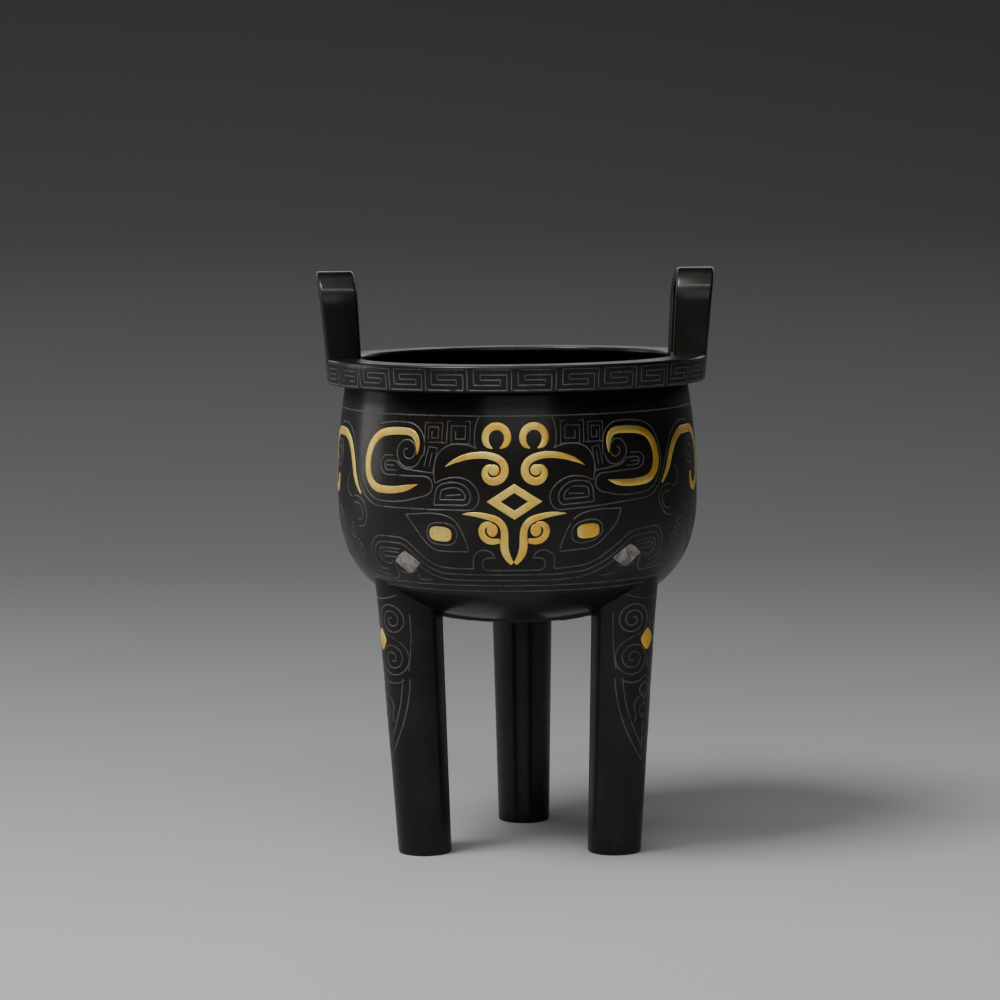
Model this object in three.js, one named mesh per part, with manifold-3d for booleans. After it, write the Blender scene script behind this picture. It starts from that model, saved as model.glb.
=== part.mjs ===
// A small bronze ding: a deep round bowl with a flat everted rim, two upright loop handles
// and three tapering legs, all cast in one.
// Millimetres, +Z up. The origin is on the floor under the middle of the bowl.
// -Y is the front, midway between two legs, and the handles stand at -X and +X.
import * as THREE from "three";
import { mergeVertices } from "three/addons/utils/BufferGeometryUtils.js";
import Module from "manifold-3d";

const wasm = await Module();
wasm.setup();

// Bowl
const undersideHeight = 50.7; // floor to the lowest point of the bowl
const bellyRadius = 39.4; // widest outside radius
const bellyDepth = 29.3; // underside up to the widest level
const bellySquareness = 2.75; // 2 is an ellipse, more is fuller at the corner
const shoulderHeight = 22.3; // widest level up to the rim's underside
const neckDraw = 2.0; // how far the shoulder draws in below the rim
const wallThickness = 2.9;
const bellySteps = 10;
const shoulderSteps = 4;
const roundSegments = 72;

// Rim
const rimOverhang = 4.4; // how far the rim's top edge stands out from the neck
const rimDraft = 0.5; // the rim's face leans in by this at its lower edge
const rimDepth = 5.6;
const rimEdgeRadius = 0.6;
const mouthEdgeRadius = 0.4;
const edgeSteps = 3;

// Legs
const footCircle = 23.9; // foot centres from the middle of the bowl
const legSpread = 2.6; // how much further out the legs are at the bowl's underside
const footRadius = 5.8;
const footChamfer = 0.5;
const legTaper = 1.05; // gain in radius from foot to underside
const rootFlare = 0.6; // extra radius where the leg runs into the bowl
const rootFlareHeight = 18;
const rootFlareSteps = 4;
const legSegments = 26;
const legTurn = -2; // degrees that the legs are set round from the front
const legAngles = [-60, 60, 180]; // degrees from the front, towards +X

// The mould seam that joins the three legs under the bowl
const seamRise = 0.8;
const seamWidth = 2.6;

// Handles
const handleRise = 18.8; // above the rim
const handleSpan = 15; // along the rim
const handleStrap = 3.4; // thickness of the strap that makes the loop
const handleCorner = 7; // outside radius of the loop's two corners
const handleSplay = 1.75; // the outer face's lean over the whole rise
const handleInnerSplay = 0.9; // the inner face's lean over the whole rise
const handleEdge = 0.45; // softened edges
const handleSink = 1.5; // how deep the loop runs into the rim
const handleTurn = 2; // degrees that the handles are set round from the sides
const cornerSteps = 7;

// Places worked out from the sizes above
const bellyHeight = undersideHeight + bellyDepth;
const rimUnderside = bellyHeight + shoulderHeight;
const rimTop = rimUnderside + rimDepth;
const neckRadius = bellyRadius - neckDraw;
const rimRadius = neckRadius + rimOverhang;
const mouthRadius = neckRadius - wallThickness;
const seamCircle = footCircle + legSpread;

// The direction of a leg in the plan, in radians from +X.
function legDirection(angle) {
  return THREE.MathUtils.degToRad(angle + legTurn - 90);
}

// A closed geometry as a solid that can be joined and cut.
function solidOf(geometry) {
  const bare = geometry.clone();
  bare.deleteAttribute("normal");
  bare.deleteAttribute("uv");
  const merged = mergeVertices(bare, 1e-4);
  const corners = [...merged.index.array];
  const triVerts = [];
  for (let i = 0; i < corners.length; i += 3) {
    const [a, b, c] = corners.slice(i, i + 3);
    if (a !== b && b !== c && c !== a) triVerts.push(a, b, c);
  }
  return new wasm.Manifold(
    new wasm.Mesh({
      numProp: 3,
      vertProperties: merged.attributes.position.array,
      triVerts: new Uint32Array(triVerts),
    }),
  );
}

// A solid's surface as a geometry.
function geometryOf(solid) {
  const mesh = solid.getMesh();
  const geometry = new THREE.BufferGeometry();
  geometry.setAttribute("position", new THREE.BufferAttribute(mesh.vertProperties, 3));
  geometry.setIndex(new THREE.BufferAttribute(mesh.triVerts, 1));
  const faceted = geometry.toNonIndexed();
  faceted.computeVertexNormals();
  return faceted;
}

// A profile of [radius, height] points, turned about the Z axis.
function turned(profile, segments) {
  const points = profile.map(([radius, height]) => new THREE.Vector2(radius, height));
  return new THREE.LatheGeometry(points, segments).rotateX(Math.PI / 2);
}

// Points of an arc in a profile, by centre, radius and angles in degrees.
function arc(x, y, radius, from, to, steps) {
  return Array.from({ length: steps + 1 }, (_, i) => {
    const a = THREE.MathUtils.degToRad(from + ((to - from) * i) / steps);
    return [x + radius * Math.cos(a), y + radius * Math.sin(a)];
  });
}

// The rounded bottom of the bowl from the axis up to its widest level, thinned by inset.
function bellyCurve(inset) {
  const radius = bellyRadius - inset;
  const depth = bellyDepth - inset;
  return Array.from({ length: bellySteps + 1 }, (_, i) => {
    const a = (i / bellySteps) * (Math.PI / 2);
    const out = Math.sin(a) ** (2 / bellySquareness);
    const down = Math.cos(a) ** (2 / bellySquareness);
    return [i ? radius * out : 0, bellyHeight - (i < bellySteps ? depth * down : 0)];
  });
}

// The shoulder from above the widest level up to the rim's underside, thinned by inset.
function shoulderCurve(inset) {
  return Array.from({ length: shoulderSteps }, (_, i) => {
    const t = (i + 1) / shoulderSteps;
    return [bellyRadius - inset - neckDraw * t * t, bellyHeight + shoulderHeight * t];
  });
}

// The bowl's outside with its rim, closed across the mouth.
function bowlOutside() {
  const lowerEdge = rimEdgeRadius / 2;
  const lowerRadius = rimRadius - rimDraft;
  return turned(
    [
      ...bellyCurve(0),
      ...shoulderCurve(0),
      ...arc(lowerRadius - lowerEdge, rimUnderside + lowerEdge, lowerEdge, -90, 0, 1),
      ...arc(rimRadius - rimEdgeRadius, rimTop - rimEdgeRadius, rimEdgeRadius, 0, 90, edgeSteps),
      [0, rimTop],
    ],
    roundSegments,
  );
}

// The empty space inside, which opens through the top.
function bowlInside() {
  const lip = mouthEdgeRadius;
  return turned(
    [
      ...bellyCurve(wallThickness),
      ...shoulderCurve(wallThickness),
      ...arc(mouthRadius + lip, rimTop - lip, lip, 180, 90, edgeSteps),
      [mouthRadius + lip, rimTop + lip],
      [0, rimTop + lip],
    ],
    roundSegments,
  );
}

// One round leg, which stands flat, leans outwards as it rises and swells into the bowl.
function leg(angle) {
  const topHeight = undersideHeight + bellyDepth / 2;
  const flareStart = topHeight - rootFlareHeight;
  const radiusAt = (height) => {
    const flare = Math.max(height - flareStart, 0) / rootFlareHeight;
    return footRadius + (legTaper * height) / undersideHeight + rootFlare * flare * flare;
  };
  const profile = [
    [0, 0],
    [footRadius - footChamfer, 0],
    [radiusAt(footChamfer), footChamfer],
  ];
  for (let i = 0; i <= rootFlareSteps; i++) {
    const height = flareStart + (rootFlareHeight * i) / rootFlareSteps;
    profile.push([radiusAt(height), height]);
  }
  profile.push([0, topHeight]);
  const lean = new THREE.Matrix4().makeShear(0, 0, 0, 0, legSpread / undersideHeight, 0);
  return turned(profile, legSegments)
    .applyMatrix4(lean)
    .translate(footCircle, 0, 0)
    .rotateZ(legDirection(angle));
}

// A triangle in the plan with a corner at each leg, moved in by inset along its sides' normals.
function legTriangle(inset, outline) {
  const corner = seamCircle - inset / Math.cos(Math.PI / 3);
  const points = legAngles.map((angle) => {
    const a = legDirection(angle);
    return new THREE.Vector2(corner * Math.cos(a), corner * Math.sin(a));
  });
  return outline.setFromPoints([...points, points[0]]);
}

// The seam: the skin just under the bowl, kept only along the sides of the triangle.
function seam() {
  const outline = legTriangle(-seamWidth / 2, new THREE.Shape());
  outline.holes.push(legTriangle(seamWidth / 2, new THREE.Path()));
  const band = new THREE.ExtrudeGeometry(outline, { depth: bellyHeight, bevelEnabled: false });
  const skin = turned([...bellyCurve(-seamRise), [0, bellyHeight]], roundSegments);
  return solidOf(band).intersect(solidOf(skin));
}

// The loop's upright outline: along the rim in x, height above the rim in y.
// The bevel later adds handleEdge all round.
function loopOutline() {
  const half = handleSpan / 2 - handleEdge;
  const inner = handleSpan / 2 - handleStrap + handleEdge;
  const top = handleRise - handleEdge;
  const innerTop = handleRise - handleStrap + handleEdge;
  const corner = handleCorner - handleEdge;
  const innerCorner = Math.max(handleCorner - handleStrap, 0) + handleEdge;
  const shape = new THREE.Shape();
  shape.moveTo(-half, -handleSink);
  shape.lineTo(-inner, -handleSink);
  shape.absarc(innerCorner - inner, innerTop - innerCorner, innerCorner, Math.PI, Math.PI / 2, true);
  shape.absarc(inner - innerCorner, innerTop - innerCorner, innerCorner, Math.PI / 2, 0, true);
  shape.lineTo(inner, -handleSink);
  shape.lineTo(half, -handleSink);
  shape.absarc(half - corner, top - corner, corner, 0, Math.PI / 2, false);
  shape.absarc(corner - half, top - corner, corner, Math.PI / 2, Math.PI, false);
  shape.closePath();
  return shape;
}

// One handle: the loop stands on the whole width of the rim, follows its curve and leans out.
function handle(side) {
  const width = rimRadius - mouthRadius;
  const loop = new THREE.ExtrudeGeometry(loopOutline(), {
    depth: width - 2 * handleEdge,
    curveSegments: cornerSteps,
    bevelThickness: handleEdge,
    bevelSize: handleEdge,
    bevelSegments: 1,
  });
  const middle = (rimRadius + mouthRadius) / 2;
  const place = loop.attributes.position;
  for (let i = 0; i < place.count; i++) {
    const outward = (place.getZ(i) + handleEdge) / width;
    const rise = place.getY(i);
    const splay = THREE.MathUtils.lerp(handleInnerSplay, handleSplay, outward);
    const radius = mouthRadius + outward * width + (splay * Math.max(rise, 0)) / handleRise;
    const turn = place.getX(i) / middle;
    place.setXYZ(i, radius * Math.cos(turn), radius * Math.sin(turn), rimTop + rise);
  }
  const turn = THREE.MathUtils.degToRad(handleTurn);
  return loop.rotateZ(side > 0 ? turn : turn + Math.PI);
}

// The whole casting.
function vessel() {
  let casting = solidOf(bowlOutside()).add(seam());
  for (const angle of legAngles) casting = casting.add(solidOf(leg(angle)));
  casting = casting.subtract(solidOf(bowlInside()));
  for (const side of [-1, 1]) casting = casting.add(solidOf(handle(side)));
  return casting;
}

const bronze = new THREE.MeshStandardMaterial({
  color: new THREE.Color().setRGB(0.035, 0.032, 0.028),
  roughness: 0.42,
  metalness: 0.85,
});

const body = new THREE.Mesh(geometryOf(vessel()), bronze);
body.name = "ding_vessel";

const ding = new THREE.Group();
ding.add(body);

export default ding;
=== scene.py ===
import math
from functools import partial

import bpy
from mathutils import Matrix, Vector, noise


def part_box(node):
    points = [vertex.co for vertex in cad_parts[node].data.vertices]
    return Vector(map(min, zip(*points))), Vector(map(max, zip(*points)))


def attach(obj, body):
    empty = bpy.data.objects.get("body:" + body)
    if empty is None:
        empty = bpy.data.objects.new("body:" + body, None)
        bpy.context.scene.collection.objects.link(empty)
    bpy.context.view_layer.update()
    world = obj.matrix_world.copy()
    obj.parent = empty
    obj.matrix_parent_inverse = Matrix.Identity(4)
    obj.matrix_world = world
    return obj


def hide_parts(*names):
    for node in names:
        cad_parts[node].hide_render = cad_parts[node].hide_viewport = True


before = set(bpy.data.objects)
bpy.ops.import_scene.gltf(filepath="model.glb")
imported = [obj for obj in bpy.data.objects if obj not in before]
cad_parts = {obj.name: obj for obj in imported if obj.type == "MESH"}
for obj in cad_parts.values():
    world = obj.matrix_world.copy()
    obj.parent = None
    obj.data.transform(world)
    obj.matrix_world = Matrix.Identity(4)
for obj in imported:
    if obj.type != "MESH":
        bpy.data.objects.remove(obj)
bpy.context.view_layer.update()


# The bowl and its rim
# The real bowl is bronze, cast in a piece mould round a core with its rim, and scraped smooth.
# Here one wall profile is spun: up the outside, over the rim and down the inside. Sizes are in mm.

MM = 0.001
vessel_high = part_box("ding_vessel")[1] / MM
rim_radius = vessel_high.y
handle_rise = 18.8
rim_top = vessel_high.z - handle_rise
rim_depth = 5.6
rim_draft = 0.5
rim_edge = 0.6
rim_underside = rim_top - rim_depth
rim_overhang = 4.4
neck_radius = rim_radius - rim_overhang
neck_draw = 2.0
belly_radius = neck_radius + neck_draw
shoulder_height = 22.3
belly_height = rim_underside - shoulder_height
belly_depth = 29.3
belly_squareness = 2.75
wall = 2.9
mouth_radius = neck_radius - wall
weld_distance = 0.001 * MM


def bowl_radius(height, inset=0.0):
    """The bowl's radius at a height, outside or inset by part of the wall."""
    if height >= belly_height:
        return belly_radius - inset - neck_draw * ((height - belly_height) / shoulder_height) ** 2
    down = min((belly_height - height) / (belly_depth - inset), 1)
    return (belly_radius - inset) * (1 - down**belly_squareness) ** (1 / belly_squareness)


def belly_curve(inset, steps):
    """The rounded bottom, from the axis up to the widest level."""
    points = []
    for i in range(steps):
        a = i / steps * math.pi / 2
        radius = (belly_radius - inset) * math.sin(a) ** (2 / belly_squareness)
        down = (belly_depth - inset) * math.cos(a) ** (2 / belly_squareness)
        points.append((radius, belly_height - down))
    return points


def shoulder_curve(inset, steps):
    """The nearly upright side, from the widest level to the rim."""
    heights = [belly_height + shoulder_height * i / steps for i in range(steps + 1)]
    return [(bowl_radius(height, inset), height) for height in heights]


def arc(x, y, radius, start, end, steps):
    """Points of an arc, with its ends in degrees."""
    angles = [math.radians(start + (end - start) * i / steps) for i in range(steps + 1)]
    return [(x + radius * math.cos(a), y + radius * math.sin(a)) for a in angles]


def turned(name, profile, segments):
    """A profile of (radius, height) points, drawn by extruding one vertex and spun about Z."""
    bpy.ops.object.select_all(action="DESELECT")
    bpy.ops.mesh.primitive_plane_add(size=MM)
    piece = bpy.context.active_object
    piece.name = name
    bpy.ops.object.mode_set(mode="EDIT")
    bpy.ops.mesh.merge(type="CENTER")
    points = [Vector((radius, 0, height)) * MM for radius, height in profile]
    bpy.ops.transform.translate(value=points[0])
    for here, there in zip(points, points[1:]):
        bpy.ops.mesh.extrude_region_move(TRANSFORM_OT_translate={"value": there - here})
    bpy.ops.mesh.select_all(action="SELECT")
    bpy.ops.mesh.spin(steps=segments, angle=2 * math.pi, center=(0, 0, 0), axis=(0, 0, 1))
    bpy.ops.mesh.select_all(action="SELECT")
    bpy.ops.mesh.remove_doubles(threshold=weld_distance)
    bpy.ops.mesh.normals_make_consistent(inside=False)
    bpy.ops.object.mode_set(mode="OBJECT")
    return piece


def combine(piece, other, operation):
    """Joins another solid to a piece or cuts it away, and uses it up."""
    bpy.ops.object.select_all(action="DESELECT")
    bpy.context.view_layer.objects.active = piece
    bpy.ops.object.modifier_add(type="BOOLEAN")
    modifier = piece.modifiers[-1]
    modifier.operation = operation
    modifier.solver = "EXACT"
    modifier.object = other
    bpy.ops.object.modifier_apply(modifier=modifier.name)
    bpy.data.objects.remove(other)


round_segments = 192
belly_rows = 48
shoulder_rows = 24
lower_edge = 0.35
face_low = (rim_radius - rim_draft, rim_underside + lower_edge)
face_high = (rim_radius, rim_top - rim_edge)
face_rows = 4
rim_face = [
    tuple(a + (b - a) * i / face_rows for a, b in zip(face_low, face_high)) for i in range(face_rows + 1)
]
underside_shares = (0.3, 0.6)
top_shares = (0.94, 0.88, 0.6, 0.3, 0)
outside = (
    belly_curve(0, belly_rows)
    + shoulder_curve(0, shoulder_rows)
    + [(neck_radius + rim_overhang * share, rim_underside) for share in underside_shares]
    + arc(face_low[0] - lower_edge, face_low[1], lower_edge, -90, -15, 3)
    + rim_face
    + arc(rim_radius - rim_edge, rim_top - rim_edge, rim_edge, 15, 90, 5)
    + [(rim_radius * share, rim_top) for share in top_shares]
)
vessel = turned("vessel_casting", outside, round_segments)


# The legs
# Three solid round legs are cast on with the bowl. They taper to flat feet, lean outwards a
# little as they rise, and swell where they run into the bowl, whose lines they cut sharply.

foot_circle = 23.9
leg_spread = 2.6
foot_radius = 5.8
foot_edge = 0.5
leg_taper = 1.05
root_flare = 0.6
root_flare_height = 18
underside_height = belly_height - belly_depth
leg_top = underside_height + belly_depth / 2
leg_turn = -2
leg_angles = (-60, 60, 180)
leg_rows = 40
leg_segments = 72


def leg_radius(height):
    """A leg's radius at a height."""
    flare = max(height - leg_top + root_flare_height, 0) / root_flare_height
    return foot_radius + leg_taper * height / underside_height + root_flare * flare**2


def leg_axis(angle, height):
    """The middle of a leg at a height, and the direction in which it stands out."""
    turn = math.radians(angle + leg_turn - 90)
    outwards = Vector((math.cos(turn), math.sin(turn), 0))
    return outwards * (foot_circle + leg_spread * height / underside_height), outwards


def leg(angle):
    """One leg, spun upright and then leaned and carried to its place."""
    heights = [foot_edge + (leg_top - foot_edge) * i / leg_rows for i in range(leg_rows + 1)]
    profile = (
        [(0, 0), (foot_radius / 2, 0)]
        + arc(foot_radius - foot_edge, foot_edge, foot_edge, -90, -20, 4)
        + [(leg_radius(height), height) for height in heights]
        + [(leg_radius(leg_top) / 2, leg_top), (0, leg_top)]
    )
    piece = turned("leg", profile, leg_segments)
    for vertex in piece.data.vertices:
        middle, outwards = leg_axis(angle, vertex.co.z / MM)
        sideways = Vector((-outwards.y, outwards.x, 0))
        x, y, z = vertex.co
        vertex.co = outwards * x + sideways * y + middle * MM + Vector((0, 0, z))
    return piece


for leg_angle in leg_angles:
    combine(vessel, leg(leg_angle), "UNION")


# The mould seam
# Where the mould's bottom piece met its side pieces, a rough three-sided seam was left under
# the bowl from leg to leg. It was never dressed off. It follows the underside, 0.6 mm proud.

seam_rise = 0.6
seam_width = 2.6
seam_roughness = 0.25
seam_grain = 1.4
seam_segments = 144


def seam():
    """The bowl's skin, grown outwards, kept along the sides of a triangle between the legs."""
    profile = belly_curve(-seam_rise, belly_rows) + [(0, belly_height)]
    skin = turned("seam_skin", profile, seam_segments)
    for vertex in skin.data.vertices:
        vertex.co.z -= noise.noise(vertex.co / (seam_grain * MM)) * seam_roughness * MM
    reach = foot_circle + leg_spread
    for sign, operation in ((1, "INTERSECT"), (-1, "DIFFERENCE")):
        corner = reach + sign * seam_width
        bpy.ops.object.select_all(action="DESELECT")
        bpy.ops.mesh.primitive_cylinder_add(
            vertices=3, radius=corner * MM, depth=belly_height * MM, location=(0, 0, belly_height / 2 * MM),
            rotation=(0, 0, math.radians(leg_turn)),
        )
        prism = bpy.context.active_object
        bpy.ops.object.transform_apply(location=True, rotation=True, scale=True)
        combine(skin, prism, operation)
    return skin


combine(vessel, seam(), "UNION")


# The hollow
# The core left the bowl empty, with a wall about 3 mm thick that follows the outside.

mouth_edge = 0.5
inside_belly_rows = 40
inside_shoulder_rows = 20
hollow_top = rim_top + 1
inside = (
    belly_curve(wall, inside_belly_rows)
    + shoulder_curve(wall, inside_shoulder_rows)
    + arc(mouth_radius + mouth_edge, rim_top - mouth_edge, mouth_edge, 165, 90, 4)
    + [(mouth_radius + mouth_edge, hollow_top), (0, hollow_top)]
)
combine(vessel, turned("hollow", inside, round_segments), "DIFFERENCE")


# The handles
# Each handle is a strap bent into an upright loop, cast with the rim and standing on its whole
# width. It follows the rim's curve, leans out a little, and its edges are worn round.

handle_span = 15.0
handle_strap = 3.4
handle_corner = 7.0
handle_splay = 1.75
handle_inner_splay = 0.9
handle_sink = 1.5
handle_edge = 0.6
handle_turn = 2
handle_rows = 10
handle_corner_steps = 12
handle_edge_steps = 4
handle_edge_angle = 40
vessel_crease = 32


def handle(side):
    """One loop: a post's section is raised, turned over two corners and led down again."""
    width = rim_radius - mouth_radius
    half = handle_span / 2
    straight = handle_rise - handle_corner + handle_sink
    bpy.ops.object.select_all(action="DESELECT")
    bpy.ops.mesh.primitive_plane_add(size=1)
    loop = bpy.context.active_object
    loop.name = "handle"
    bpy.ops.object.mode_set(mode="EDIT")
    bpy.ops.transform.resize(value=(width * MM, handle_strap * MM, 1))
    middle = Vector((width / 2, handle_strap / 2 - half, -handle_sink)) * MM
    bpy.ops.transform.translate(value=middle)
    for _ in range(handle_rows):
        step = (0, 0, straight / handle_rows * MM)
        bpy.ops.mesh.extrude_region_move(TRANSFORM_OT_translate={"value": step})
    corner_height = (handle_rise - handle_corner) * MM
    for corner_place in (handle_corner - half, half - handle_corner):
        bpy.ops.mesh.spin(
            steps=handle_corner_steps, angle=math.pi / 2,
            center=(0, corner_place * MM, corner_height), axis=(1, 0, 0),
        )
        if corner_place < 0:
            across = (0, (handle_span - 2 * handle_corner) * MM, 0)
            bpy.ops.mesh.extrude_region_move(TRANSFORM_OT_translate={"value": across})
    for _ in range(handle_rows):
        step = (0, 0, -straight / handle_rows * MM)
        bpy.ops.mesh.extrude_region_move(TRANSFORM_OT_translate={"value": step})
    bpy.ops.mesh.select_all(action="SELECT")
    bpy.ops.mesh.remove_doubles(threshold=weld_distance)
    bpy.ops.mesh.normals_make_consistent(inside=False)
    bpy.ops.object.mode_set(mode="OBJECT")
    bpy.ops.object.modifier_add(type="BEVEL")
    bevel = loop.modifiers[-1]
    bevel.width = handle_edge * MM
    bevel.segments = handle_edge_steps
    bevel.limit_method = "ANGLE"
    bevel.angle_limit = math.radians(handle_edge_angle)
    bpy.ops.object.modifier_apply(modifier=bevel.name)
    mean_radius = (rim_radius + mouth_radius) / 2
    start = math.radians(handle_turn if side > 0 else handle_turn + 180)
    for vertex in loop.data.vertices:
        out, along, rise = vertex.co / MM
        splay = handle_inner_splay + (handle_splay - handle_inner_splay) * out / width
        radius = mouth_radius + out + splay * max(rise, 0) / handle_rise
        turn = start + along / mean_radius
        vertex.co = Vector((radius * math.cos(turn), radius * math.sin(turn), rim_top + rise)) * MM
    return loop


for handle_side in (-1, 1):
    combine(vessel, handle(handle_side), "UNION")

bpy.ops.object.select_all(action="DESELECT")
bpy.context.view_layer.objects.active = vessel
vessel.select_set(True)
bpy.ops.object.shade_smooth_by_angle(angle=math.radians(vessel_crease))


# The bronze
# Near-black bronze with a brown, waxed patina: a little browner and smoother where hands have rubbed it,
# with fine scraping marks and tiny casting pits. Painted shade: inside, below its lip, the bowl is painted
# near black and made rougher, and a band under the rim is darkened as the rim's painted shadow. Deep
# inside, the bowl is dull with old dust from dust_height in mm down.


class Amount:
    """A number that varies over a surface, so that sums on it add Math nodes."""

    def __init__(self, finish, socket):
        self.finish = finish
        self.socket = socket

    def math(self, operation, *others):
        return self.finish.add("ShaderNodeMath", {"operation": operation}, (self, *others))

    def __add__(self, other):
        return self.math("ADD", other)

    def __mul__(self, other):
        return self.math("MULTIPLY", other)

    def __sub__(self, other):
        return self.math("SUBTRACT", other)

    def __rsub__(self, other):
        return self.finish.add("ShaderNodeMath", {"operation": "SUBTRACT"}, (other, self))

    __radd__ = __add__
    __rmul__ = __mul__

    def between(self, low, high):
        """0 below low, 1 above high and smooth between."""
        settings = {"interpolation_type": "SMOOTHSTEP"}
        sockets = {"Value": self, "From Min": low, "From Max": high}
        return self.finish.add("ShaderNodeMapRange", settings, sockets)


class Finish:
    """A material with one surface shader, and one method that adds any other node."""

    def __init__(self, name, surface):
        self.material = bpy.data.materials.new(name)
        self.material.use_nodes = True
        self.tree = self.material.node_tree
        self.tree.nodes.clear()
        output = self.tree.nodes.new("ShaderNodeOutputMaterial")
        self.shader = self.tree.nodes.new("ShaderNodeBsdfPrincipled")
        self.tree.links.new(self.shader.outputs[0], output.inputs["Surface"])
        self.place = self.add("ShaderNodeTexCoord", out="Object")
        for socket, value in surface.items():
            self.set(socket, value)

    def fill(self, socket, value):
        if isinstance(value, Amount):
            self.tree.links.new(value.socket, socket)
        else:
            socket.default_value = value

    def set(self, socket, value):
        """Gives one of the shader's sockets a value or a link."""
        self.fill(self.shader.inputs[socket], value)

    def add(self, kind, settings=None, sockets=(), out=0):
        """Adds a node, sets it, fills its sockets by order or name, and gives one output."""
        node = self.tree.nodes.new(kind)
        for name, value in (settings or {}).items():
            setattr(node, name, value)
        filled = sockets.items() if isinstance(sockets, dict) else enumerate(sockets)
        for name, value in filled:
            self.fill(node.inputs[name], value)
        return Amount(self, node.outputs[out])

    def speckle(self, per_metre, detail=2.0, roughness=0.5):
        """Cloudy noise from 0 to 1, with so many features to the metre."""
        sockets = {"Vector": self.place, "Scale": per_metre, "Detail": detail, "Roughness": roughness}
        return self.add("ShaderNodeTexNoise", None, sockets)

    def part(self, axis):
        """One coordinate of the place, in metres."""
        return self.add("ShaderNodeSeparateXYZ", None, (self.place,), out=axis)

    def mix(self, share, first, second):
        """A colour between two others."""
        settings = {"data_type": "RGBA"}
        sockets = {0: share, 6: first, 7: second}
        return self.add("ShaderNodeMix", settings, sockets, out=2)

    def bump(self, height, depth):
        """Gives the surface a relief of that depth in mm."""
        sockets = {"Height": height, "Distance": depth * MM, "Strength": 1.0}
        self.set("Normal", self.add("ShaderNodeBump", None, sockets))


def grey(level):
    """A neutral colour."""
    return (level, level, level, 1)


def coat(piece, finish):
    """Gives a piece one finish all over."""
    piece.data.materials.clear()
    piece.data.materials.append(finish.material)


bronze_black = (0.0055, 0.005, 0.0042, 1)
bronze_brown = (0.0135, 0.0105, 0.0075, 1)
# Near black for the painted shade inside the bowl and under the rim.
inside_shade_black = (0.0015, 0.0014, 0.0014, 1)
old_dust = (0.045, 0.038, 0.03, 1)
dust_height = 91
dust_fade = 14
# The painted shade inside stops this far in mm below the rim's top.
lip_above_shade = 0.4
lip_above_shade_fade = 0.6
neck_band = 97.6
neck_band_fade = 2.5
neck_lines = 11
rim_shade = 0.1
rim_shade_fade = 0.3

bronze = Finish("waxed_black_bronze", {
    "Specular IOR Level": 0.4, "Specular Tint": grey(0.6), "Coat Roughness": 0.18,
})
clouds = bronze.speckle(110, detail=3)
grain = bronze.speckle(900, detail=3)
pits = bronze.speckle(2600, detail=1).between(0.68, 0.76)
rubbed = (clouds * 0.7 + grain * 0.3).between(0.42, 0.62)
across = (bronze.part("X") * bronze.part("X") + bronze.part("Y") * bronze.part("Y")).math("SQRT")
height = bronze.part("Z") * (1 / MM)
rise = ((height - belly_height) * (1 / shoulder_height)).math("MAXIMUM", 0)
mid_radius = (belly_radius - wall / 2) - rise * rise * neck_draw
out_share = (across * (1 / MM)).math("DIVIDE", mid_radius).math("POWER", belly_squareness)
drop = ((belly_height - height) * (1 / (belly_depth - wall / 2))).math("MAXIMUM", 0)
down_share = drop.math("POWER", belly_squareness)
# On the surface half-way through the wall the two shares add up to 1.
inside_bowl = (1 - out_share - down_share).between(0, 0.01)
# Painted shade: the inside of the bowl below the lip.
inside_shade = inside_bowl * (rim_top - lip_above_shade - height).between(0, lip_above_shade_fade)
below_rim = (rim_underside + rim_shade - height).between(0, rim_shade_fade)
# Painted shadow of the rim on the band below it, where fine turned lines are also cut.
under_rim_shadow = (height - neck_band).between(0, neck_band_fade) * below_rim * (1 - inside_shade)
lines_under_rim = (height * neck_lines).math("SINE").between(0.55, 1) * under_rim_shadow
patina = bronze.mix(rubbed, bronze_black, bronze_brown)
# Where painted shade and painted shadow darken the bronze.
painted_shade = inside_shade + under_rim_shadow * 0.55
dusty = inside_shade * (dust_height - height).between(0, dust_fade)
darkened = bronze.mix(painted_shade, patina, inside_shade_black)
bronze.set("Base Color", bronze.mix(dusty, darkened, old_dust))
bronze.set("Metallic", 0.45 + painted_shade * 0.55 - dusty * 0.85)
bronze.set("Coat Weight", 0.3 - painted_shade * 0.3)
bronze.set("Roughness", 0.38 + grain * 0.16 - rubbed * 0.06 + pits * 0.1 + inside_shade * 0.35)
bronze.bump(clouds * 0.6 + grain * 0.25 - pits * 0.15 - lines_under_rim * 0.5, 0.12)
coat(vessel, bronze)
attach(vessel, "root")
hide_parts("ding_vessel")


# The gold sheet inlays
# Strips of thin gold sheet, cut to shape, are beaten into beds sunk in the bronze and burnished
# flush. Each is drawn flat in tangent arcs, as mm round the bowl and mm of height, and then laid
# on the bowl. The drawing is half of the front; its mirror image and the back are laid from it.

gold_proud = 0.045
inlay_depth = 0.3
sheet_crown = 0.1
inlay_crease = 40
face_names = ("front", "back")
centre_drift = 0.022
centre_offset = -0.85
climb = 0.07
climb_start = 10
climb_end = (40, 56)
climb_top = (80, 92)
upper_half = (73, 80)
hook_shift = 2.0
hook_span = (14, 28)
scroll_shift = 1.8
scroll_span = (33, 42)
cloud_shift = 1.2
cloud_start = (18, 25)
cloud_end = (32, 38)


def blend(value, low, high):
    """0 up to low, 1 from high on and smooth between."""
    t = min(max((value - low) / (high - low), 0), 1)
    return t * t * (3 - 2 * t)


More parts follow.
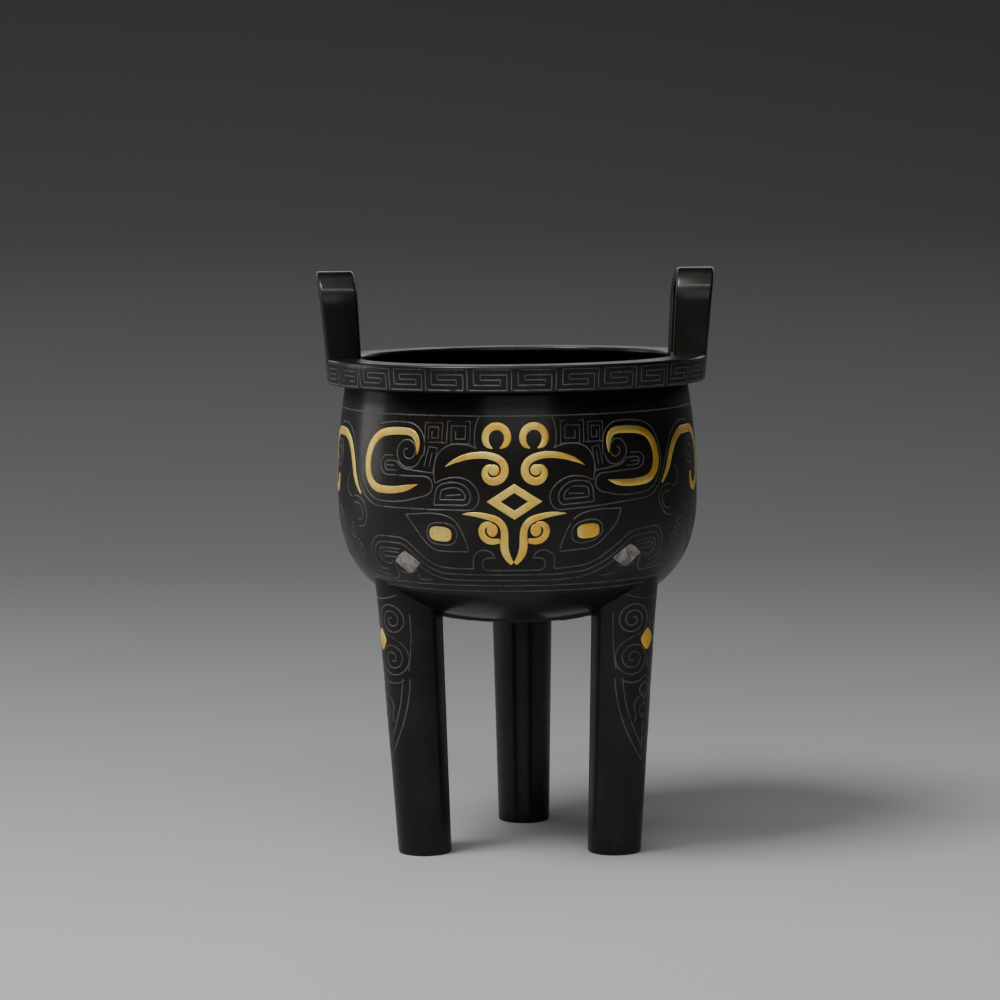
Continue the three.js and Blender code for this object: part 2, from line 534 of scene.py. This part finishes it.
def half_laid(side, across, height):
    """Where a point of the half drawing goes on one side of the mask.

    The pattern's middle leans a little. On the right, the upper hooks and scrolls were set out
    closer in and the lower clouds further out, and the lower lines climb as they go round.
    """
    if side > 0:
        climbing = (1 - blend(height, *climb_top)) * (1 - blend(across, *climb_end))
        height += climb * max(across - climb_start, 0) * climbing
        upper = blend(height, *upper_half)
        closer = hook_shift * blend(across, *hook_span) + scroll_shift * blend(across, *scroll_span)
        across -= upper * closer
        further = cloud_shift * blend(across, *cloud_start) * (1 - blend(across, *cloud_end))
        across += (1 - upper) * further
    middle = centre_offset + centre_drift * (height - belly_height)
    return middle + side * across, height


def on_bowl(across, height, lift, face):
    """The place on the front or back of the bowl, for mm round it, height and lift off it."""
    step = 0.1
    slope = (bowl_radius(height + step) - bowl_radius(height - step)) / (2 * step)
    out = Vector((1, -slope)).normalized() * lift
    turn = across / belly_radius + face * math.pi - math.pi / 2
    radius = bowl_radius(height) + out.x
    return Vector((radius * math.cos(turn), radius * math.sin(turn), height + out.y)) * MM


def strip_section():
    """The section of a gold strip 1 m wide: a flat crown with soft shoulders, closed below."""
    bpy.ops.object.select_all(action="DESELECT")
    bpy.ops.curve.primitive_bezier_circle_add(radius=1)
    section = bpy.context.active_object
    section.name = "strip_section"
    half, shoulder, rise = 0.5, 0.42, 0.1
    corners = [
        (-half, 0), (-shoulder, rise), (0, rise), (shoulder, rise), (half, 0), (half, -rise), (-half, -rise),
    ]
    section.data.splines.clear()
    outline = section.data.splines.new("POLY")
    outline.points.add(len(corners) - 1)
    for point, (x, y) in zip(outline.points, corners):
        point.co = (x, y, 0, 1)
    outline.use_cyclic_u = True
    return section


def drawn(name, lines, section=None, steps=4):
    """Lines of (across, height, width) drawn as Bezier curves, given a section and made a mesh.

    A line is a list of points and a bend: "AUTO" for a smooth line, "VECTOR" for straight runs.
    A section None gives round wire, whose width is then its diameter.
    """
    bpy.ops.object.select_all(action="DESELECT")
    bpy.ops.curve.primitive_bezier_curve_add()
    drawing = bpy.context.active_object
    drawing.name = name
    curve = drawing.data
    curve.splines.clear()
    curve.dimensions = "3D"
    curve.twist_mode = "Z_UP"
    curve.resolution_u = steps
    curve.use_fill_caps = True
    for points, bend, closed in lines:
        spline = curve.splines.new("BEZIER")
        spline.bezier_points.add(len(points) - 1)
        for point, (across, height, width) in zip(spline.bezier_points, points):
            point.co = Vector((across, height, 0)) * MM
            point.handle_left_type = bend
            point.handle_right_type = bend
            point.radius = width * MM
        spline.use_cyclic_u = closed
    if section:
        curve.bevel_mode = "OBJECT"
        curve.bevel_object = section
    else:
        curve.bevel_depth = 0.5
        curve.bevel_resolution = 1
    bpy.ops.object.convert(target="MESH")
    return bpy.context.active_object


def lay(piece, place, proud):
    """Bends a flat drawing onto its surface: its upper side stands proud, the rest is sunk."""
    hair = 1e-9
    full_rise = 0.07 * MM
    for vertex in piece.data.vertices:
        x, y, z = vertex.co
        lift = proud * min(z / full_rise, 1) if z > -hair else -inlay_depth
        vertex.co = place(x / MM, y / MM, lift)
    tidy_faces(piece)


def tidy_faces(piece):
    """Merges doubles and turns all faces outwards."""
    bpy.ops.object.select_all(action="DESELECT")
    bpy.context.view_layer.objects.active = piece
    piece.select_set(True)
    bpy.ops.object.mode_set(mode="EDIT")
    bpy.ops.mesh.select_all(action="SELECT")
    bpy.ops.mesh.remove_doubles(threshold=weld_distance / 2)
    bpy.ops.mesh.normals_make_consistent(inside=False)
    bpy.ops.object.mode_set(mode="OBJECT")
    bpy.ops.object.shade_smooth_by_angle(angle=math.radians(inlay_crease))


def join(name, pieces):
    """Makes one object of several."""
    bpy.ops.object.select_all(action="DESELECT")
    for piece in pieces:
        piece.select_set(True)
    bpy.context.view_layer.objects.active = pieces[0]
    bpy.ops.object.join()
    pieces[0].name = name
    return pieces[0]


def crowned(piece):
    """Lifts a flat sheet's inner points and gives it a closed underside."""
    mesh = piece.data
    uses = {}
    for polygon in mesh.polygons:
        for edge in polygon.edge_keys:
            uses[edge] = uses.get(edge, 0) + 1
    rim = {index for edge, count in uses.items() if count == 1 for index in edge}
    for vertex in mesh.vertices:
        vertex.co.z = 0 if vertex.index in rim else sheet_crown * MM
    bpy.ops.object.mode_set(mode="EDIT")
    bpy.ops.mesh.select_all(action="SELECT")
    bpy.ops.mesh.duplicate()
    bpy.ops.transform.resize(value=(1, 1, 0), center_override=(0, 0, 0))
    bpy.ops.transform.translate(value=(0, 0, -sheet_crown * MM))
    bpy.ops.mesh.flip_normals()
    bpy.ops.mesh.select_mode(type="EDGE")
    bpy.ops.mesh.select_all(action="DESELECT")
    bpy.ops.mesh.select_non_manifold()
    bpy.ops.mesh.bridge_edge_loops()
    bpy.ops.mesh.select_mode(type="VERT")
    bpy.ops.object.mode_set(mode="OBJECT")


def sheet(outline, hole=None, soft_edge=0.12, grid=0.8):
    """A sheet cut to an outline of (across, height) points, with softened edges.

    Its face is inset once to take the soft edge and cut by a grid of lines, so that it can
    bend. With a hole, a first inset is that wide and its middle is taken out.
    """
    bpy.ops.object.select_all(action="DESELECT")
    bpy.ops.mesh.primitive_circle_add(vertices=len(outline), radius=1, fill_type="NGON")
    piece = bpy.context.active_object
    for vertex, (across, height) in zip(piece.data.vertices, outline):
        vertex.co = Vector((across, height, 0)) * MM
    bpy.ops.object.mode_set(mode="EDIT")
    if hole:
        bpy.ops.mesh.select_mode(type="FACE")
        bpy.ops.mesh.inset(thickness=hole * MM)
        bpy.ops.mesh.delete(type="FACE")
    bpy.ops.mesh.select_all(action="SELECT")
    bpy.ops.mesh.normals_make_consistent(inside=False)
    bpy.ops.mesh.inset(thickness=soft_edge * MM, use_boundary=True)
    for axis in range(2):
        low = min(point[axis] for point in outline)
        high = max(point[axis] for point in outline)
        cuts = math.ceil((high - low) / grid)
        for i in range(1, cuts):
            line = Vector((0, 0, 0))
            line[axis] = (low + (high - low) * i / cuts) * MM
            normal = [0, 0, 0]
            normal[axis] = 1
            bpy.ops.mesh.select_all(action="SELECT")
            bpy.ops.mesh.bisect(plane_co=line, plane_no=normal)
    bpy.ops.object.mode_set(mode="OBJECT")
    crowned(piece)
    return piece


def round_outline(middle, width, height, squareness, tilt=0.0, points=28):
    """An oval's outline, squarer as squareness rises above 2 and a diamond's at 1."""
    outline = []
    for i in range(points):
        a = 2 * math.pi * i / points
        x = math.copysign(abs(math.cos(a)) ** (2 / squareness), math.cos(a)) * width / 2
        y = math.copysign(abs(math.sin(a)) ** (2 / squareness), math.sin(a)) * height / 2
        c, s = math.cos(tilt), math.sin(tilt)
        outline.append((middle[0] + x * c - y * s, middle[1] + x * s + y * c))
    return outline


def bent(start, heading, bends):
    """Points of a line of tangent arcs, from a start and a heading in degrees, 90 for upwards.

    A bend is a radius and a turn in degrees, which is positive to the left. A bend that turns
    by 0 is a straight run of that length.
    """
    x, y = start
    heading = math.radians(heading)
    points = [(x, y)]
    for size, turn in bends:
        turn = math.radians(turn)
        length = size * abs(turn) if turn else size
        steps = max(math.ceil(length / 1.5), math.ceil(abs(turn) / 0.6))
        half = turn / steps / 2
        chord = 2 * size * math.sin(abs(half)) if turn else length / steps
        for _ in range(steps):
            heading += half
            x += chord * math.cos(heading)
            y += chord * math.sin(heading)
            heading += half
            points.append((x, y))
    return points


def tapered(points, widths):
    """Gives a line's points their widths, which are stated at equal steps of its length."""
    lengths = [0]
    for here, there in zip(points, points[1:]):
        lengths.append(lengths[-1] + math.dist(here, there))
    strip = []
    for (across, height), length in zip(points, lengths):
        place = length / lengths[-1] * (len(widths) - 1)
        low = min(int(place), len(widths) - 2)
        width = widths[low] + (widths[low + 1] - widths[low]) * (place - low)
        strip.append((across, height, width))
    return strip


ring_radius = 2.38
ring_gap = 40
ring_line = bent((4.8, 90.6), ring_gap / 2, [(ring_radius, 360 - ring_gap)])
ring = tapered(ring_line, (0.2, 1.4, 1.55, 1.55, 1.55, 1.55, 1.55, 1.4, 0.2))
upper_line = bent(
    (15.0, 86.7), 145, [(14, 35), (8, 25), (2.6, 65), (2.4, 90), (1.8, 90), (1.2, 90), (0.8, 50)]
)
upper_scroll = tapered(upper_line, (0.1, 1.0, 1.3, 1.4, 1.5, 1.65, 1.7, 1.4, 0.9))
upper_eye = ((4.4, 86.1), 2.3, 2.3)
lower_line = bent((11.0, 76.8), 175, [(16, 25), (3.2, 65), (12, 10), (6, -45), (0.5, 0)])
lower_scroll = tapered(lower_line, (0.1, 0.85, 1.15, 1.35, 1.45, 1.55, 1.75, 1.65, 0.9))
curl_line = bent((3.0, 71.3), -15, [(6, 15), (2.3, 90), (1.4, 90), (1.2, 35)])
lower_curl = tapered(curl_line, (1.0, 1.3, 1.4, 1.4, 1.25, 0.9))
lower_eye = ((4.6, 73.5), 2.3, 2.7)
hook_line = bent(
    (21.9, 89.0), 100, [(7, -20), (2.8, -75), (25, -15), (6.8, -70), (8, -20), (4.6, -75), (25, -25)]
)
big_hook = tapered(
    hook_line, (0.1, 1.35, 1.5, 1.55, 1.6, 1.65, 1.8, 1.9, 1.9, 1.75, 1.6, 1.5, 1.3, 0.1)
)
side_line = bent(
    (39.3, 79.8), 40,
    [(10, 35), (18, -15), (6.5, -60), (4, 0), (6, -90), (2.8, 0), (3.9, -90), (2.4, -90), (0.9, 0)],
)
side_scroll = tapered(side_line, (0.5, 1.4, 1.65, 1.75, 1.8, 1.8, 1.75, 1.7, 1.7, 1.7, 1.8, 1.2))
mask_eye = ((16.1, 72.5), 5.1, 3.1, 3.0, 4)
diamond_middle = 79.5
diamond_width = 11.6
diamond_height = 7.5
diamond_strip = 1.58


def gold_sheets(face):
    """All the gold of one half of the bowl."""
    section = strip_section()
    lines = []
    for side in (-1, 1):
        for scroll in (ring, upper_scroll, lower_scroll, lower_curl, big_hook, side_scroll):
            points = [(*half_laid(side, across, height), width) for across, height, width in scroll]
            lines.append((points, "AUTO", False))
    cuts = [drawn("gold_strips", lines, section)]
    bpy.data.objects.remove(section)
    for side in (-1, 1):
        for middle, width, height in (upper_eye, lower_eye):
            cuts.append(sheet(round_outline(half_laid(side, *middle), width, height, 2)))
        middle, width, height, squareness, tilt = mask_eye
        tilt = math.radians(tilt) * side
        cuts.append(sheet(round_outline(half_laid(side, *middle), width, height, squareness, tilt)))
    middle = half_laid(1, 0, diamond_middle)
    corners = round_outline(middle, diamond_width, diamond_height, 1, points=4)
    cuts.append(sheet(corners, hole=diamond_strip))
    piece = join(f"gold_inlay_{face_names[face]}", cuts)
    lay(piece, partial(on_bowl, face=face), gold_proud)
    return piece


rich_gold = (0.97, 0.58, 0.085, 1)
pale_gold = (1.0, 0.75, 0.19, 1)
worn_gold = (0.34, 0.16, 0.04, 1)
gold = Finish("burnished_gold_sheet", {"Metallic": 1.0})
beaten = gold.speckle(700, detail=3)
dust = gold.speckle(2200, detail=2, roughness=0.7)
worn = (beaten * 0.5 + dust * 0.5).between(0.55, 0.68)
warm = gold.mix(gold.speckle(160).between(0.4, 0.6), rich_gold, pale_gold)
gold.set("Base Color", gold.mix(worn * 0.6, warm, worn_gold))
gold.set("Roughness", 0.48 + worn * 0.2)
gold.bump(beaten * 0.6 + dust * 0.4, 0.05)
for face in (0, 1):
    inlay = gold_sheets(face)
    coat(inlay, gold)
    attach(inlay, "root")


# The silver wires of the bowl
# Fine silver wire is hammered into engraved lines: the mask's eyes, jaws, ears and horns, the
# clouds behind it and the borders. It is tarnished grey, and in places dark or rubbed away.
# Lines that run beside each other or beside the gold are worked out from one line.

wire_width = 0.28
wire_proud = 0.05
hand_wander = 0.06
wander_length = 2.5
other_spot = Vector((7, 3, 5))


def spiral(middle, start, turns, outer, inner):
    """Points of a spiral that closes in from outer to inner, from a start angle in degrees."""
    steps = round(abs(turns) * 10)
    points = []
    for i in range(steps + 1):
        radius = outer + (inner - outer) * i / steps
        angle = math.radians(start + 360 * turns * i / steps)
        points.append((middle[0] + radius * math.cos(angle), middle[1] + radius * math.sin(angle)))
    return points


def beside(points, gap, end_gap=None):
    """A line beside another, to its left for a positive gap, which can change along it."""
    end_gap = gap if end_gap is None else end_gap
    last = len(points) - 1
    line = []
    for i, (x, y) in enumerate(points):
        before, after = points[max(i - 1, 0)], points[min(i + 1, last)]
        run = math.dist(before, after)
        reach = gap + (end_gap - gap) * i / last
        line.append((x - reach * (after[1] - before[1]) / run, y + reach * (after[0] - before[0]) / run))
    return line


def key_spiral(start, opposite, gap, runs):
    """Corners of a square spiral, which first rises from one corner of a box and winds inwards."""
    x, y = start
    sideways = math.copysign(gap, opposite[0] - x)
    sides = {"near": x, "top": opposite[1], "far": opposite[0], "bottom": y}
    inwards = {"near": sideways, "top": -gap, "far": -sideways, "bottom": gap}
    order = ("near", "top", "far", "bottom")
    points = [start]
    for i in range(runs):
        along, reached = order[i % 4], order[(i + 1) % 4]
        if reached in ("top", "bottom"):
            y = sides[reached]
        else:
            x = sides[reached]
        sides[along] += inwards[along]
        points.append((x, y))
    return points


horn = bent((7.8, 97.3), -65, [(10, -40)])
horn_arch = bent((8.2, 90.6), 25, [(9, -35), (4.8, -70), (10, -25)])
ear_outline = bent((16.9, 83.3), 150, [
    (9, 30), (5.2, 60), (3.2, 60), (2.2, 60), (22, 0), (9, 45), (8, 25), (7.5, 0), (6.5, -70), (3.5, 0),
])
ear_gap = 1.15
ear_ring = bent((17.5, 78.8), 100, [(2.8, 0), (1.8, 60), (8, 25), (3.6, 60), (2.2, 60), (1.2, 55), (6.8, 0)])
ear_middle = bent((14.8, 80.6), 175, [(3.4, 0)])
hook_outline = beside(hook_line, 1.7, 2.7)
hook_curl = spiral((24.3, 89.6), 190, 1.7, 3.8, 0.6)
hook_tongue = bent((20.6, 80.1), 160, [(1.5, 0), (2, -160), (10, 0), (2.2, 90), (1.9, 90), (1.8, 0)])
hook_cloud = bent((18.2, 85.3), 5, [(6.5, 0), (3, 45), (1.6, -50), (1.8, 0), (1, -180), (2.6, 0)])
hook_cloud_middle = bent((30.3, 86.5), 180, [(2.2, 0)])
brow = bent((24.7, 76.3), 175, [(4.5, 0), (20, 15), (4.5, 50), (18, 18)])
jaw_height = 65.1
jaw_gap = 1.3
lower_lid = bent((9.9, 68.8), 0, [(6, 0), (5, 50), (7.6, 0)])
muzzle = bent((9.0, jaw_height), 90, [(1.5, 0), (2.6, 90), (2.4, 75)])
lip = bent((4.1, 67.5), 0, [(1.5, 0), (1.35, -180), (5.6, 0)])
jaw_rise = bent((9.0, jaw_height), 0, [(5.5, 0), (10, 40), (4, 0), (5.5, -40)])
cloud_over = bent(jaw_rise[-1], 0, [(4.5, 0), (5.5, -90)])
cloud_under = bent(cloud_over[-1], -90, [(0.6, 0), (2.6, -90), (2.2, 0)])
jaw_and_cloud = jaw_rise + cloud_over[1:] + cloud_under[1:]
cloud_third = bent((27.2, 68.7), 0, [(5.2, 0), (1.7, -180), (1.4, 0), (0.5, -110)])
cloud_capsule = bent((27.6, 67.9), 0, [(4.6, 0), (0.55, -180), (4.4, 0)])
plate_cup = bent((28.6, 63.8), 200, [(6, -50)])
plate_tail = bent((29.8, 65.6), -100, [(1.2, 0), (2.2, 100), (9, 0)])
side_curl = bent((42.5, 79.2), 180, [(1.5, 0), (3.9, 90), (2.6, 90), (1.2, 0)])
smooth_wires = [
    horn, horn_arch, ear_outline, ear_ring, beside(ear_ring, ear_gap)[1:-1], ear_middle,
    hook_outline, hook_curl, hook_tongue, hook_cloud, hook_cloud_middle,
    brow, lower_lid, muzzle, lip,
    jaw_and_cloud,
    [(0.0, jaw_height - jaw_gap)] + beside(jaw_and_cloud, -jaw_gap),
    [(0.0, jaw_height - 2 * jaw_gap)] + beside(jaw_rise[:-5], -2 * jaw_gap),
    cloud_third, cloud_capsule, plate_cup, plate_tail,
    bent((20.2, 62.2), 0, [(3, 0), (0.5, 160)]),
    side_curl, beside(side_curl, 1.5),
    bent((44.8, 83.7), -30, [(2.6, -150)]),
    bent((48.8, 75.2), -100, [(7, 80)]),
    bent((61.9, 77.6), -120, [(8, 60)]),
    spiral((44.2, 71.3), 90, 1.3, 1.9, 0.5),
    spiral((41.8, 67.8), 100, -1.4, 1.9, 0.5),
    spiral((53.3, 72.6), 150, 2.3, 5.2, 0.7),
    spiral((56.2, 65.4), 190, -1.9, 3.4, 0.6),
    spiral((53.0, 87.4), -60, 2.1, 3.9, 0.6),
]
sharp_wires = [
    key_spiral((14.9, 91.5), (9.7, 96.2), 1.0, 9),
    key_spiral((20.2, 91.7), (16.0, 95.8), 0.9, 9),
    [(15.4, 91.6), (20.2, 91.7)],
    [(20.0, 86.5), (19.0, 90.8), (17.0, 90.5), (18.0, 85.0)],
    [(18.2, 89.5), (18.8, 86.5)],
]
eye_ring = round_outline((15.8, 72.5), 6.9, 4.7, 2.5, math.radians(5), points=16)
border_heights = (97.3, 61.3, 60.0)


def wandering(across, height):
    """A point, moved a little as an engraver's hand strays."""
    spot = Vector((across, height, 0)) / wander_length
    return (
        across + hand_wander * noise.noise(spot),
        height + hand_wander * noise.noise(spot + other_spot),
        wire_width,
    )


def wires(name, lines, place):
    """Wires from lines of (points, bend, closed), laid onto a surface."""
    wandered = [([wandering(*point) for point in points], bend, closed) for points, bend, closed in lines]
    piece = drawn(name, wandered, steps=3)
    lay(piece, place, wire_proud)
    return piece


def bowl_wires(face):
    """All the wires of one half of the bowl."""
    lines = []
    for side in (-1, 1):
        kinds = ((smooth_wires, "AUTO", False), (sharp_wires, "VECTOR", False), ([eye_ring], "AUTO", True))
        for group, bend, closed in kinds:
            for points in group:
                lines.append(([half_laid(side, *point) for point in points], bend, closed))
    half_round = belly_radius * math.pi / 2
    for height in border_heights:
        steps = 60
        ends = [half_round * (2 * i / steps - 1) for i in range(steps + 1)]
        lines.append(([(across, height) for across in ends], "AUTO", False))
    return wires(f"silver_wire_{face_names[face]}", lines, partial(on_bowl, face=face))


bright_wire = (0.13, 0.13, 0.125, 1)
dull_wire = (0.08, 0.077, 0.073, 1)
rubbed_wire = (0.02, 0.019, 0.018, 1)
silver = Finish("tarnished_silver_wire", {"Metallic": 0.7})
tarnish = silver.speckle(260, detail=3)
rubbed_away = silver.speckle(420, detail=2).between(0.66, 0.72)
tarnished = silver.mix(tarnish.between(0.35, 0.65), bright_wire, dull_wire)
silver.set("Base Color", silver.mix(rubbed_away, tarnished, rubbed_wire))
silver.set("Roughness", 0.5 + tarnish * 0.1)
for face in (0, 1):
    bowl_wire = bowl_wires(face)
    coat(bowl_wire, silver)
    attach(bowl_wire, "root")


# The rim's key fret
# A meander of silver wire is hammered into the rim's upright face. Each panel is one wire, set out
# on even levels and on uprights at shares of the panel: a margin, then even gaps.

fret_panels = 28
fret_start = -1.0
fret_low = 0.5
fret_pitch = 1.08
fret_margin = 0.1
fret_gap = 0.15
fret_left = fret_margin + fret_gap
fret_right = 1 - 2 * fret_gap
fret_far = 1 - fret_gap
fret_end = fret_far + fret_margin
fret_path = [
    (0, 0), (fret_far, 0), (fret_far, 3), (fret_left, 3), (fret_left, 2), (fret_right, 2),
    (fret_right, 1), (fret_margin, 1), (fret_margin, 4), (fret_end, 4), (fret_end, 0),
]
fret_reach = 0.75


def on_rim(across, height, lift):
    """The place on the rim's upright face, which leans out a little as it rises."""
    rise = (height - rim_underside) / rim_depth
    radius = rim_radius - rim_draft * (1 - rise) + lift
    turn = across / rim_radius - math.pi / 2
    return Vector((radius * math.cos(turn), radius * math.sin(turn), height)) * MM


def cut_fine(points, reach):
    """Adds points along straight runs, so that they can bend round the rim."""
    fine = [points[0]]
    for here, there in zip(points, points[1:]):
        steps = max(math.ceil(math.dist(here, there) / reach), 1)
        fine += [
            tuple(a + (b - a) * i / steps for a, b in zip(here, there)) for i in range(1, steps + 1)
        ]
    return fine


fret_lines = []
for i in range(fret_panels):
    corners = []
    for share, level in fret_path:
        turn = fret_start + (i + share) / fret_panels * 360
        height = rim_underside + fret_low + fret_pitch * level
        corners.append((math.radians(turn) * rim_radius, height))
    fret_lines.append((cut_fine(corners, fret_reach), "VECTOR", False))
rim_wire = wires("silver_wire_rim", fret_lines, on_rim)
coat(rim_wire, silver)
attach(rim_wire, "root")


# The silver plates
# A small four-cornered plate of silver sheet, gone grey, sits in each cloud below the mask's
# eyes. Like the gold it is beaten into a sunk bed and is flush with the bronze.

plate_outline = round_outline((25.8, 65.9), 7.3, 5.0, 1.15)
pale_plate = (0.40, 0.36, 0.33, 1)
stained_plate = (0.17, 0.14, 0.13, 1)
plate_silver = Finish("tarnished_silver_sheet", {"Metallic": 0.6})
stain = plate_silver.speckle(500, detail=3)
scratch = plate_silver.speckle(1900, detail=2)
stained = (stain * 0.6 + scratch * 0.4).between(0.4, 0.62)
plate_silver.set("Base Color", plate_silver.mix(stained, pale_plate, stained_plate))
plate_silver.set("Roughness", 0.45 + stain * 0.15)
plate_silver.bump(stain * 0.5 + scratch * 0.5, 0.05)
for face in (0, 1):
    plates = [sheet([half_laid(side, *point) for point in plate_outline]) for side in (-1, 1)]
    pair = join(f"silver_plates_{face_names[face]}", plates)
    lay(pair, partial(on_bowl, face=face), gold_proud)
    coat(pair, plate_silver)
    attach(pair, "root")


# The inlays of the legs
# Outwards and a little to the left, each leg has a small gold star, a diamond with full sides,
# between four spirals of silver wire. Below them hangs a wire blade with a double outline and
# small curls inside it. All are let into the bronze as on the bowl.

blade_turn = -8
leg_spirals = spiral((-4.1, 52.0), -35, 2.4, 3.8, 0.5)[::-1] + spiral((-3.5, 43.6), 125, 2.45, 4.2, 0.5)
blade = bent((-7.3, 39.2), -85, [(33.5, 33), (0.8, 0)])
leg_wires = [
    leg_spirals, blade, beside(blade[:-3], 1.7),
    bent((-8.5, 53.5), -90, [(60, 12)]),
    bent((-6.0, 39.0), -35, [(4.6, 80)]),
    bent((0.0, 38.1), 190, [(1.7, 150), (0.6, 170)]),
    bent((-1.5, 35.0), 215, [(2.6, 80), (3, -45)]),
    bent((0.0, 33.4), 195, [(1.6, 140), (0.5, 170)]),
    bent((-6.2, 57.6), -20, [(18, 20)]),
]
leg_middle_wires = [[(0.0, 34.9), (0.0, 33.4)], [(0.0, 29.6), (0.0, 26.5), (0.0, 23.2)]]
star_middle = (0.0, 47.55)
star_width = 3.8
star_height = 4.8
star_squareness = 4 / 2.9
star_outline = round_outline(star_middle, star_width, star_height, star_squareness, points=32)
star_grid = 0.6


def on_leg(angle, across, height, lift):
    """The place on a leg, for mm round it from its blade's middle line, and height."""
    middle, outwards = leg_axis(angle, height)
    radius = leg_radius(height)
    turn = math.atan2(outwards.y, outwards.x) + math.radians(blade_turn) + across / radius
    out = Vector((math.cos(turn), math.sin(turn), 0))
    return (middle + out * (radius + lift) + Vector((0, 0, height))) * MM


stars = []
leg_wire_pieces = []
for leg_angle in leg_angles:
    place = partial(on_leg, leg_angle)
    star = sheet(star_outline, grid=star_grid)
    lay(star, place, gold_proud)
    stars.append(star)
    lines = [
        ([(side * across, height) for across, height in line], "AUTO", False)
        for side in (-1, 1) for line in leg_wires
    ]
    lines += [(line, "AUTO", False) for line in leg_middle_wires]
    leg_wire_pieces.append(wires("leg_wires", lines, place))
leg_stars = join("gold_stars_legs", stars)
coat(leg_stars, gold)
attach(leg_stars, "root")
leg_wire = join("silver_wire_legs", leg_wire_pieces)
coat(leg_wire, silver)
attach(leg_wire, "root")


# The camera and the room
# A long lens looks slightly down on the vessel from the front. It stands on a pale paper sweep under a
# soft box high on the left; the paper's colour is painted darker as it rises behind, as painted shade.

camera_place = Vector((-3.85, -713.3, 147.3)) * MM
camera_pitch = math.radians(5.71)
camera_roll = math.radians(-0.64)
camera_sensor = 36
camera_lens = 117.2
bpy.ops.object.camera_add(location=camera_place, rotation=(math.pi / 2 - camera_pitch, 0, 0))
camera = bpy.context.active_object
camera.rotation_euler.rotate_axis("Z", camera_roll)
camera.data.sensor_width = camera_sensor
camera.data.lens = camera_lens
bpy.context.scene.camera = camera

sweep_width = 3000
sweep_front = -900
sweep_bend = 500
sweep_radius = 500
sweep_top = 1400
sweep_steps = 24
sweep_line = (
    [(sweep_front, 0), (0, 0)]
    + arc(sweep_bend, sweep_radius, sweep_radius, -90, 0, sweep_steps)
    + [(sweep_bend + sweep_radius, sweep_top)]
)
bpy.ops.object.select_all(action="DESELECT")
bpy.ops.mesh.primitive_plane_add(size=MM)
sweep = bpy.context.active_object
sweep.name = "paper_sweep"
bpy.ops.object.mode_set(mode="EDIT")
bpy.ops.mesh.merge(type="CENTER")
sweep_points = [Vector((-sweep_width / 2, y, z)) * MM for y, z in sweep_line]
bpy.ops.transform.translate(value=sweep_points[0])
for here, there in zip(sweep_points, sweep_points[1:]):
    bpy.ops.mesh.extrude_region_move(TRANSFORM_OT_translate={"value": there - here})
bpy.ops.mesh.select_all(action="SELECT")
bpy.ops.mesh.extrude_region_move(TRANSFORM_OT_translate={"value": (sweep_width * MM, 0, 0)})
bpy.ops.mesh.select_all(action="SELECT")
bpy.ops.mesh.normals_make_consistent(inside=False)
bpy.ops.object.mode_set(mode="OBJECT")
bpy.ops.object.shade_smooth()
paper_grey = 0.43
paper_shade_falloff = 1.78
falloff_start = -0.1
paper = Finish("paper_painted_shade", {"Roughness": 0.9, "Specular IOR Level": 0.1})
# Painted shade: the paper's colour darkens along the sweep from falloff_start on, for the light falling off.
reach = (paper.part("Y") + paper.part("Z") - falloff_start).math("MAXIMUM", 0)
paper.set("Base Color", paper_grey * (reach * -paper_shade_falloff).math("EXPONENT"))
coat(sweep, paper)


light_target = Vector((0, 0, 70)) * MM
cool_white = (0.9, 0.95, 1.0)
room_grey = grey(0.02)


def soft_box(name, direction, distance, width, height, power, tint=(1, 1, 1)):
    """A flat light that faces the middle of the bowl from a direction."""
    place = light_target + Vector(direction).normalized() * distance * MM
    bpy.ops.object.light_add(type="AREA", location=place)
    lamp = bpy.context.active_object
    lamp.name = name
    lamp.rotation_euler = (light_target - place).to_track_quat("-Z", "Y").to_euler()
    lamp.data.shape = "RECTANGLE"
    lamp.data.size = width * MM
    lamp.data.size_y = height * MM
    lamp.data.energy = power
    lamp.data.color = tint


soft_box("key_box", (-0.44, -0.27, 0.86), distance=1100, width=400, height=400, power=13)
soft_box(
    "high_strip", (0.0, -0.55, 0.83), distance=1200, width=1200, height=70, power=4, tint=cool_white
)
soft_box("top_box", (0.0, 0.0, 1.0), distance=1300, width=1000, height=1000, power=1.5)
soft_box("front_box", (0.0, -0.9, 0.35), distance=1600, width=1200, height=800, power=4.6)
soft_box(
    "back_strip", (0.0, 0.95, 0.31), distance=800, width=1600, height=150, power=1.7, tint=cool_white
)
soft_box("left_card", (-0.95, 0.3, 0.2), distance=1100, width=450, height=700, power=2.6)
world = bpy.data.worlds.new("dim_room")
world.use_nodes = True
world.node_tree.nodes["Background"].inputs["Color"].default_value = room_grey
bpy.context.scene.world = world
